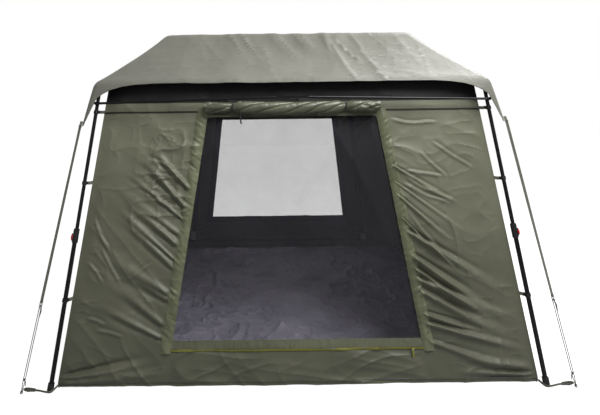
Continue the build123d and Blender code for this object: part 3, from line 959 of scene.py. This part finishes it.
def stitch_piece(name, surface, right, z_low, z_high):
    """Rows of thread along a door strip."""
    sign = 1 if right else -1
    verts, faces = [], []
    for offset in STITCH_ROWS:
        z = np.arange(z_low, z_high, STITCH_PITCH)
        z_next = z + STITCH_LONG
        here = sign * (door_half(z) + offset)
        a = surface(here, z)
        b = surface(sign * (door_half(z_next) + offset), z_next)
        n = surface_normals(surface, here, z)
        for p, q, up in zip(a, b, n):
            way = (q - p) / max(np.linalg.norm(q - p), 1e-9)
            cross = np.cross(way, up) * STITCH_THICK / 2
            lift = up * (0.0008 + STITCH_THICK / 2)
            low = up * STITCH_THICK / 2
            start = len(verts)
            for end in (p + lift, q + lift):
                verts += [end - cross - low, end + cross - low, end + low]
            f = [(0, 1, 2), (5, 4, 3), (0, 3, 4, 1), (1, 4, 5, 2), (2, 5, 3, 0)]
            faces += [tuple(start + i for i in face) for face in f]
    piece = new_piece(name, verts, faces, THREAD, smooth=False)
    hang_on_leg(piece, corner_of("front", right))
    return piece


def rear_zip(z):
    """Distance of the rear wall's zip from its middle, at a height."""
    return 0.900 + (1.620 - z) * 0.112


PULL_AT, PULL_SIZE = 1.065, 0.050


def make_rear_details():
    """Window border, zip lines and pulls on the rear wall, on its inner side where the door shows them."""
    border_z = (WINDOW_LOW - 0.065, WINDOW_HIGH + 0.03)
    foot_z = (WINDOW_LOW - 0.068, WINDOW_LOW + DOOR_LAP)
    for right, word in HALVES:
        half_wall(f"rear_window_border_{word}", right, window_half, window_half, border_z, (60, 8),
                  BORDER, "rear", (-DOOR_LAP, WINDOW_BORDER), lift=BORDER_IN)
        half_wall(f"rear_window_foot_{word}", right, zero, window_half, foot_z, (6, 60),
                  BORDER, "rear", (0.0, WINDOW_BORDER), lift=BORDER_IN - 0.0004)
        half_wall(f"rear_zip_{word}", right, rear_zip, rear_zip, (0.10, 1.70), (80, 6),
                  BORDER, "rear", (-0.030, 0.030), lift=BORDER_IN)
        half_wall(f"rear_zip_foot_{word}", right, zero, zero, (0.105, 0.135), (5, 90),
                  BORDER, "rear", (0.0, rear_zip(0.12)), lift=BORDER_IN - 0.0002)
        across = PULL_AT if right else -PULL_AT
        z = 0.185 if right else 0.150
        spot = wall_surface("rear")(np.array([[across]]), np.array([[z]]))[0, 0]
        pull = make_pull(f"rear_zip_pull_{word}", Vector(spot) + Vector((0, -0.030, 0)), PULL_SIZE)
        hang_on_leg(pull, corner_of("rear", right))


def make_pull(name, at, size):
    """Crumpled reflective tab, as on the rear zips."""

    def tab(u, v):
        fold = 0.030 * (crumple(u, v, 0.035, 131) - 0.4)
        wide = 0.45 + 0.55 * noise(v * 40, 0.5, 0.5, 132)
        return np.stack([at.x + u * wide, at.y - fold, at.z + v], -1)

    u, v = np.meshgrid(np.linspace(-size * 0.9, size * 0.9, 30), np.linspace(-size, size, 34))
    return cloth(name, tab, u, v, SHINY, thick=0.0010)


TOOTH = (0.0012, 0.0010, 0.0022)  # half of its size
TOOTH_PITCH, TOOTH_OFF, TOOTH_ROW = 0.0034, 0.0062, 0.0012


def make_zip():
    """Lime zip along the doorway's foot: a tape on each side of the wall's middle, and its teeth."""
    base = wall_surface("front")
    for right, word in HALVES:
        half_wall(f"front_zip_tape_{word}", right, zero, door_half, (ZIP_Z - 0.006, ZIP_Z + 0.006), (6, 150),
                  ZIP_TAPE, by=(0.0, 0.012), lift=0.0042)
        verts, faces = [], []
        x = np.arange(0.002, 0.770, TOOTH_PITCH) * (1 if right else -1)
        z = np.full_like(x, ZIP_Z)
        places = base(x, z)
        for k, p in enumerate(places):
            row = TOOTH_ROW if k % 2 else -TOOTH_ROW
            centre = p + np.array([0, -TOOTH_OFF, row])
            start = len(verts)
            for i in range(8):
                signs = ((-1) ** i, (-1) ** (i // 2), (-1) ** (i // 4))
                verts.append(centre - np.array([s * size for s, size in zip(signs, TOOTH)]))
            box = [(0, 2, 3, 1), (4, 5, 7, 6), (0, 1, 5, 4), (2, 6, 7, 3), (0, 4, 6, 2), (1, 3, 7, 5)]
            faces += [tuple(start + i for i in f) for f in box]
        teeth = new_piece(f"front_zip_teeth_{word}", verts, faces, ZIP_LIME, smooth=False)
        hang_on_leg(teeth, corner_of("front", right))


def make_slider():
    """Zip slider with its ring and pull tab."""
    low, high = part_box("zip_slider")
    middle = (low + high) / 2
    top = Vector((middle.x, middle.y, ZIP_Z - 0.002))
    steps = ((0, 0, 0), (0, -0.004, -0.010), (0.001, -0.005, -0.022), (0.002, -0.003, -0.050))
    path = [top + Vector(step_to) for step_to in steps]
    tab = ribbon("zip_pull_tab", curve_points(path, 14), (1, 0, 0), 0.010, 0.0024, ZIP_LIME)
    turns = np.linspace(0, 2 * math.pi, 20)[:-1]
    round_pull = [top + Vector((0.005 * math.sin(a), -0.004, -0.004 + 0.006 * math.cos(a))) for a in turns]
    ring = tube_mesh("zip_pull_ring", round_pull, 0.0011, STEEL, 8, closed=True)
    body_path = [top + Vector((x, -0.001, 0)) for x in (-0.009, -0.005, 0.005, 0.009)]
    body = ribbon("zip_slider_body", curve_points(body_path, 8), (0, 0, 1), 0.011, 0.007, ZIP_LIME)
    body.modifiers.new("round", "BEVEL").width = 0.0012
    for piece in (tab, ring, body):
        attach(piece, "slider")
    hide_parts("zip_slider")


def window_half(z):
    """Half the rear window's width at a height."""
    narrower = WINDOW_HIGH_HALF - WINDOW_LOW_HALF
    return WINDOW_LOW_HALF + (z - WINDOW_LOW) * narrower / (WINDOW_HIGH - WINDOW_LOW)


# ---- Doorway ----


def make_mesh_door():
    """Mesh door with a gathered cloth band along its foot."""
    band_top = DOOR_LOW + 0.058

    def creased(u, v):
        inset = 0.006 - 0.010 * (creases(u, v, math.radians(-66), 0.9, 0.24, 101) - 0.3)
        inset = inset - 0.008 * (creases(u, v, math.radians(58), 0.8, 0.30, 102) - 0.3)
        free = step(door_half(v) - np.abs(u), 0.0, 0.08)
        b = HEM_HALF - LEAN * v - 0.004 - inset * free
        return np.stack([u, -b, v], -1)

    def puckered(u, v):
        pucker = 0.004 * creases(u, v, math.radians(80), 0.08, 0.02, 103)
        b = HEM_HALF - LEAN * v - 0.002 + pucker
        return np.stack([u, -b, v], -1)

    z = np.linspace(band_top, DOOR_HIGH - 0.003, 100)
    reach = door_half(z) - DOOR_LAP
    u, v = between(-reach, reach, z, 100)
    door = cloth("mesh_panel", creased, u, v, DOOR_MESH, thick=0.0008)
    z = np.linspace(DOOR_LOW + 0.003, band_top, 8)
    reach = door_half(z) - DOOR_LAP
    u, v = between(-reach, reach, z, 260)
    band = cloth("mesh_door_band", puckered, u, v, TRIM)
    for piece, slot in ((door, "insect_mesh"), (band, "olive_wall")):
        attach(piece, "door")
        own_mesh(piece)
        declare_sheet(piece)
    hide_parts("mesh_door")


ROLL_TIES = (-0.386, 0.342)
ROLL_STRANDS = 4  # twisted folds round the rolled door


def make_roll():
    """The solid door, rolled up and tied over the doorway."""
    low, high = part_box("door_roll")
    centre = (low + high) / 2
    half, radius = (high.x - low.x) / 2, (high.z - low.z) / 2

    def rolled(u, v):
        turn = v / radius
        pinch = 1 - 0.42 * sum(np.exp(-(((u - t) / 0.035) ** 2)) for t in ROLL_TIES)
        strand = ROLL_STRANDS * (turn / (2 * math.pi) - u / 0.56) + 0.35 * rough(u * 5, 0.5, 0.5, 113, 2)
        lie = np.abs((strand % 1.0) - 0.5) * 2
        twist = 0.74 + 0.30 * np.sqrt(np.clip(1 - lie**3, 0, 1)) + 0.07 * rough(u * 22, strand, 0.5, 112, 2)
        frayed = 0.86 + 0.10 * rough(u * 30, np.cos(turn) * 2, np.sin(turn) * 2, 114, 2)
        ends = np.where(np.abs(u) > 0.40, frayed, 1.0)
        r = radius * pinch * np.minimum(twist, 1.06) * ends
        droop = -0.012 * np.clip(np.cos(u / 0.38 * math.pi / 2), 0, 1)
        y = centre.y - np.cos(turn) * r
        z = centre.z + np.sin(turn) * r + droop
        return np.stack([u, y, z], -1)

    u, v = np.meshgrid(np.linspace(-half, half, 420), np.linspace(0, 2 * math.pi * radius, 110))
    roll = cloth("rolled_door", rolled, u, v, ROLLED)
    hang_on_leg(roll, "front_left")
    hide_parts("door_roll")
    declare_sheet(roll)


def make_groundsheet():
    """Coated groundsheet, crinkled where it lies."""
    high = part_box("groundsheet")[1]

    def crinkled(u, v):
        far = np.maximum(np.abs(u), np.abs(v))
        edge = step(high.x - far, 0.0, 0.12)
        z = 0.022 * creases(u, v, 0.5, 0.5, 0.20, 121) + 0.018 * creases(u, v, 2.4, 0.45, 0.17, 122)
        z = z + 0.026 * crumple(u, v, 0.26, 123) + 0.013 * crumple(u, v, 0.12, 124)
        return np.stack([u, v, SHEET_Z + z * edge + 0.030 * step(far, high.x - 0.02, HEM_HALF)], -1)

    reach = HEM_HALF - 0.003
    line = np.linspace(-reach, reach, 260)
    u, v = np.meshgrid(line, line)
    sheet = cloth("ground_cloth", crinkled, u, v, FLOOR_CLOTH)
    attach(sheet, "ground")
    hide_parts("groundsheet")
    declare_sheet(sheet)


# ---- Guys, straps and tabs ----

GUY_TOP, GUY_FOOT = (1.339, 1.339, 1.579), (1.640, 1.500, 0.006)
TAIL_TIP = (1.331, 1.331, 1.610)
STRAP_HEM, STRAP_FOOT, STRAP_END = (1.449, 1.449, 0.016), (1.480, 1.480, 0.0110), (1.612, 1.492, 0.012)
LEG_FOOT_HALF, LEG_TOP_HALF, LEG_TOP_Z = 1.480, 1.2445, 1.830
GUY_WIDE = 0.016
CORD_THICK = 0.0046
WEB_THICK = 0.0020
WEB_SHARE = 0.675  # how much of the guy is webbing; the rest is a doubled cord


def spline_points(name, route, count):
    """Points along a cord's smooth NURBS line, read from the curve itself."""
    data = bpy.data.curves.new(name, "CURVE")
    data.dimensions = "3D"
    line = data.splines.new("NURBS")
    line.points.add(len(route) - 1)
    for point, at in zip(line.points, route):
        point.co = (*at, 1.0)
    line.order_u = 3
    line.use_endpoint_u = True
    line.resolution_u = count
    holder = bpy.data.objects.new(name, data)
    SCENE.collection.objects.link(holder)
    bpy.context.view_layer.update()
    mesh = bpy.data.meshes.new_from_object(holder)
    points = [v.co.copy() for v in mesh.vertices]
    bpy.data.objects.remove(holder)
    bpy.data.meshes.remove(mesh)
    return points


def joined(name, pieces):
    """Several meshes of one material set made into one piece."""
    bpy.ops.object.select_all(action="DESELECT")
    for piece in pieces:
        piece.select_set(True)
    bpy.context.view_layer.objects.active = pieces[0]
    bpy.ops.object.join()
    pieces[0].name = name
    return pieces[0]


def ring_piece(name, centre, across, up, size, radius, material):
    """A ring of cord or plastic round an oval in the plane of two directions."""
    turns = [2 * math.pi * k / 20 for k in range(20)]
    points = [centre + across * (size[0] * math.cos(t)) + up * (size[1] * math.sin(t)) for t in turns]
    return tube_mesh(name, points, radius, material, 8, closed=True)


def make_guys():
    """Four taut guys from the tails to the ground: webbing above, a doubled cord below, and an adjuster."""
    for corner, (sx, sy) in CORNERS.items():
        top = at_corner(corner, GUY_TOP)
        foot = at_corner(corner, GUY_FOOT)
        route = (top, top.lerp(foot, 0.04), top.lerp(foot, 0.96), foot)
        line = spline_points(f"guy_route_{corner}", route, 24)
        down = (foot - top).normalized()
        wide = down.cross(Vector((0, -sy, 0))).normalized()
        flat = down.cross(wide)
        reach = (foot - top).length
        split = next(i for i, p in enumerate(line) if (p - top).length > WEB_SHARE * reach)

        def twist(t, wide=wide, down=down):
            return (wide + down.cross(wide) * 0.25 * math.sin(5 * t)).normalized()

        parts = [ribbon(f"guy_web_{corner}", line[: split + 1], twist, GUY_WIDE, WEB_THICK, WEB)]
        for side in (-1, 1):
            strand = [p + wide * side * GUY_WIDE * 0.33 * min(1, (foot - p).length / 0.05)
                      for p in line[split:]]
            parts.append(tube_mesh(f"guy_strand_{corner}", strand, CORD_THICK / 2, CORD, 8))
        guy = joined(f"guy_line_{corner}", parts)
        at = line[split]
        name, size = f"guy_buckle_{corner}", (0.0075, 0.010)
        buckle = [ring_piece(name, at + down * d, wide, down, size, 0.0018, PLASTIC)
                  for d in (-0.008, 0.008, 0.024)]
        loose = [at + down * 0.02, at + down * 0.045 + wide * 0.010, at + down * 0.085 + wide * 0.006]
        buckle.append(ribbon(f"guy_tail_{corner}", curve_points(loose, 10), flat, 0.009, 0.0016, WEB))
        adjuster = joined(f"guy_adjuster_{corner}", buckle)
        knot_at = foot - down * 0.075
        name, size = f"guy_knot_{corner}", (0.0050, 0.0042)
        knot = [ring_piece(name, knot_at + down * d, wide, flat, size, 0.0026, CORD)
                for d in (-0.003, 0.003)]
        end = [knot_at, knot_at + down * 0.012 - wide * sx * 0.010,
               knot_at + down * 0.034 - wide * sx * 0.014]
        knot.append(tube_mesh(f"guy_end_{corner}", curve_points(end, 8), CORD_THICK / 2, CORD, 8))
        knot_piece = joined(f"guy_knots_{corner}", knot)
        lifted = foot + Vector((0, 0, 0.002))
        raised = foot - down * 0.010
        hook = joined(f"guy_ground_loop_{corner}", [
            ring_piece(f"guy_loop_{corner}", lifted, wide, down, (0.0062, 0.0075), 0.0024, CORD),
            ring_piece(f"guy_loop_knot_{corner}", raised, wide, flat, (0.0045, 0.0045), 0.0024, CORD),
        ])
        for piece in (guy, adjuster, knot_piece, hook):
            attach(piece, f"upper_leg_{corner}")
        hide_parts(f"guy_{corner}")
        under = top + down * 0.002
        ring = ring_piece(f"tail_ring_{corner}", under, wide, down, (0.0085, 0.0085), 0.0017, PLASTIC)
        tip = at_corner(corner, TAIL_TIP)
        patch_path = curve_points([tip, tip.lerp(top, 0.5), top], 8)
        patch = ribbon(f"tail_patch_{corner}", patch_path, wide, 0.016, 0.003, WEB)
        for piece in (ring, patch):
            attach(piece, f"upper_leg_{corner}")


def make_foot_straps():
    """Webbing from each wall corner round the foot to a folded loop beside the guy's end."""
    for corner, (sx, sy) in CORNERS.items():
        hem = at_corner(corner, STRAP_HEM)
        foot = at_corner(corner, STRAP_FOOT)
        round_foot = [foot + Vector((-sx * 0.012, sy * 0.023, 0)), foot + Vector((sx * 0.016, sy * 0.022, 0))]
        end = at_corner(corner, STRAP_END)
        path = curve_points([hem, hem.lerp(round_foot[0], 0.6) + Vector((0, 0, -0.004)), *round_foot,
                             foot.lerp(end, 0.55) + Vector((0, sy * 0.006, 0.004)), end], 46)
        flat_on = (0, 0.3 * sy, 1)
        strap = ribbon(f"foot_strap_{corner}", path, flat_on, 0.015, 0.0018, WEB)
        ahead = (end - foot).normalized()
        up = Vector((0, 0, 1))
        folded = [end - ahead * 0.045, end + up * 0.004, end + ahead * 0.012 + up * 0.009,
                  end - ahead * 0.004 + up * 0.014, end - ahead * 0.050 + up * 0.006]
        loop_path = curve_points(folded, 30)
        loop = ribbon(f"foot_strap_loop_{corner}", loop_path, (0, 0.4 * sy, 1), 0.019, 0.0018, WEB)
        for piece in (strap, loop):
            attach(piece, f"lower_leg_{corner}")


def make_clip_tabs():
    """Webbing tabs that hold the walls' corners to the clips on the legs."""
    for corner, (sx, sy) in CORNERS.items():
        clips = ((f"leg_clips_{corner}", "upper_leg", 0.0185), (f"lower_clip_{corner}", "lower_leg", 0.0205))
        for node, body, slot_in in clips:
            low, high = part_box(node)
            heights = (high.z - 0.012, low.z + 0.012) if body == "upper_leg" else ((low.z + high.z) / 2,)
            for number, z in enumerate(heights):
                leg_half = LEG_FOOT_HALF - (LEG_FOOT_HALF - LEG_TOP_HALF) * z / LEG_TOP_Z
                leg_at = Vector((sx, sy, 0)) * leg_half
                wall_at = Vector((sx, sy, 0)) * (wall_half(z) - 0.002)
                inward = Vector((-sx, -sy, 0)).normalized()
                bridge = leg_at + inward * slot_in + Vector((0, 0, z))
                edge = wall_at + Vector((0, 0, z))
                past = edge + inward * 0.020
                half = [bridge, bridge.lerp(edge, 0.5) + Vector((0, 0, -0.002)), edge, past]
                over = Vector((-sy, sx, 0)).normalized() * 0.0022
                loop = curve_points([p + over for p in reversed(half)] + [bridge - inward * 0.004]
                                    + [p - over for p in half], 30)
                tab = ribbon(f"wall_tab_{number}_{node}", loop, (0, 0, 1), 0.020, 0.0016, WEB)
                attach(tab, f"{body}_{corner}")


# ---- Trim on the canopy ----


def canopy_strip(name, side, right, u_ends, v_ends, lift, body="outer_arm"):
    """A narrow tape or seam on the canopy, between two edges given at each row."""
    corner = corner_of(side, right)
    across = np.linspace(0, 1, 3)[None, :]
    (u0, u1), (v0, v1) = u_ends, v_ends
    u, v = u0 + (u1 - u0) * across, v0 + (v1 - v0) * across
    piece = cloth(name, canopy_surface(side), u, v, CANOPY_TAPE, lift=lift)
    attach(piece, f"{body}_{corner}")
    if body == "outer_arm":
        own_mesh(piece)
    declare_sheet(piece)


def shares(count):
    """Rows from 0 to 1."""
    return np.linspace(0, 1, count)[:, None]


def make_canopy_trim():
    """Bound lower edge, ridge seams and eave seam on every side of the canopy."""
    for side in SIDES:
        for right, word in HALVES:
            sign = 1 if right else -1
            end = f"{side}_{word}"
            t = shares(80)
            u = sign * KNEE_U * t
            low = depth_of(lower_edge(KNEE_U * t))
            bound = (low - EDGE_WIDE, low + EDGE_PAST)
            canopy_strip(f"canopy_edge_{end}", side, right, (u, u), bound, 0.0016)
            tail_u = KNEE_U + (TAIL_END_U - KNEE_U) * shares(50)
            u = sign * tail_u
            low = depth_of(lower_edge(tail_u))
            bound = (low - EDGE_WIDE, low + EDGE_PAST)
            canopy_strip(f"canopy_tail_edge_{end}", side, right, (u, u), bound, 0.0016, "upper_leg")
            t = shares(60)
            ridge_u = (sign * (1 - 0.012 / (ROOF_HALF + t * (EAVE_S - ROOF_HALF))), sign * (1 + 0 * t))
            along = ROOF_HALF + t * (depth_of(TAIL_SPLIT) - ROOF_HALF)
            canopy_strip(f"canopy_ridge_{end}", side, right, ridge_u, (along, along), 0.0014)
            t = shares(90)
            u = sign * t
            eave = (EAVE_S - 0.012 + 0 * t, EAVE_S - 0.001 + 0 * t)
            canopy_strip(f"canopy_eave_{end}", side, right, (u, u), eave, 0.0014)


# Each tie's end of the roll, its place along it, and where and how far its loose end hangs
TIE_PLACES = (("left", ROLL_TIES[0], -0.334, 0.075), ("right", ROLL_TIES[1], 0.156, 0.030))
TIE_SHARE = 0.64  # of the roll's radius, where a tie pinches it


def make_roll_ties():
    """Two ties round the rolled door, each with a hanging toggle."""
    low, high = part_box("door_roll")
    centre = (low + high) / 2
    radius = (high.z - low.z) / 2
    tight = TIE_SHARE * radius
    for name, x, hang_x, drop in TIE_PLACES:
        loop = [centre + Vector((x + 0.004 * math.sin(2 * a), -tight * math.cos(a), tight * math.sin(a)))
                for a in np.linspace(0, 2 * math.pi, 30)[:-1]]
        band = [ribbon(f"roll_band_{name}", loop + loop[:1], (1, 0, 0), 0.012, 0.0016, BLACK_WEB)]
        start = centre + Vector((hang_x, -0.030, -0.034))
        hanging = [start, start + Vector((0.001, -0.003, -drop * 0.5)),
                   start + Vector((0.004, -0.002, -drop))]
        path = curve_points(hanging, 10)
        band.append(ribbon(f"roll_tie_end_{name}", path, (1, 0.2, 0), 0.009, 0.0020, BLACK_WEB))
        at = start + Vector((0.0, -0.003, -0.008))
        toggle = [at + Vector((0, 0, 0.011)), at + Vector((0, 0, 0.008)),
                  at - Vector((0, 0, 0.008)), at - Vector((0, 0, 0.011))]
        band.append(tube_mesh(f"roll_toggle_{name}", toggle, 0.0042, PLASTIC, 10))
        tie = joined(f"roll_tie_{name}", band)
        hang_on_leg(tie, "front_left")


make_guys()
make_canopy()
make_tails()
make_canopy_trim()
make_walls()
make_strips()
make_mesh_door()
make_zip()
make_slider()
make_roll()
make_roll_ties()
make_rear_details()
make_groundsheet()
make_foot_straps()
make_clip_tabs()

# ---- Floor, backdrop and light ----


SKY_LIGHT, SKY_SEEN = 0.40, 1.0  # how strongly the sky lights things, and how bright it looks
FLOOR_GLOW = 0.90
STAGE_HALF = 30.0


def make_stage():
    """Pale floor under a pale sky."""
    n = Nodes("floor")
    where = n.place()
    grey = n.mix(n.noise(where, 0.8), rgb(0.56, 0.56, 0.56), rgb(0.58, 0.58, 0.58))
    n.surface(Base_Color=grey, Roughness=0.8)
    seen = n.tree.nodes.new("ShaderNodeLightPath").outputs["Is Camera Ray"]
    n.surface(Emission_Color=(1, 1, 1, 1), Emission_Strength=n.ramp(seen, 0.0, 1.0, 0.0, FLOOR_GLOW))
    corners = [(x * STAGE_HALF, y * STAGE_HALF, -0.001) for x, y in ((-1, -1), (1, -1), (1, 1), (-1, 1))]
    floor = new_piece("floor", corners, [(0, 1, 2, 3)], n.material, smooth=False)
    world = bpy.data.worlds.new("studio")
    world.use_nodes = True
    tree = world.node_tree
    background = tree.nodes["Background"]
    background.inputs["Color"].default_value = (1, 1, 1, 1)
    seen = tree.nodes.new("ShaderNodeLightPath").outputs["Is Camera Ray"]
    strength = tree.nodes.new("ShaderNodeMapRange")
    tree.links.new(seen, strength.inputs["Value"])
    strength.inputs["To Min"].default_value = SKY_LIGHT
    strength.inputs["To Max"].default_value = SKY_SEEN
    tree.links.new(strength.outputs[0], background.inputs["Strength"])
    SCENE.world = world
    SCENE.view_settings.view_transform = "Standard"


def soft_light(name, at, aim, size, power):
    """A large soft lamp that points at a place."""
    lamp = bpy.data.objects.new(name, bpy.data.lights.new(name, "AREA"))
    SCENE.collection.objects.link(lamp)
    lamp.data.size = size
    lamp.data.energy = power
    lamp.location = at
    lamp.rotation_euler = (Vector(aim) - Vector(at)).to_track_quat("-Z", "Y").to_euler()


make_stage()
soft_light("key", at=(1.7, -3.3, 4.6), aim=(0, -1.1, 1.6), size=2.6, power=235)
soft_light("sheen", at=(3.2, 0.3, 4.8), aim=(0.5, -0.8, 1.9), size=3.0, power=210)
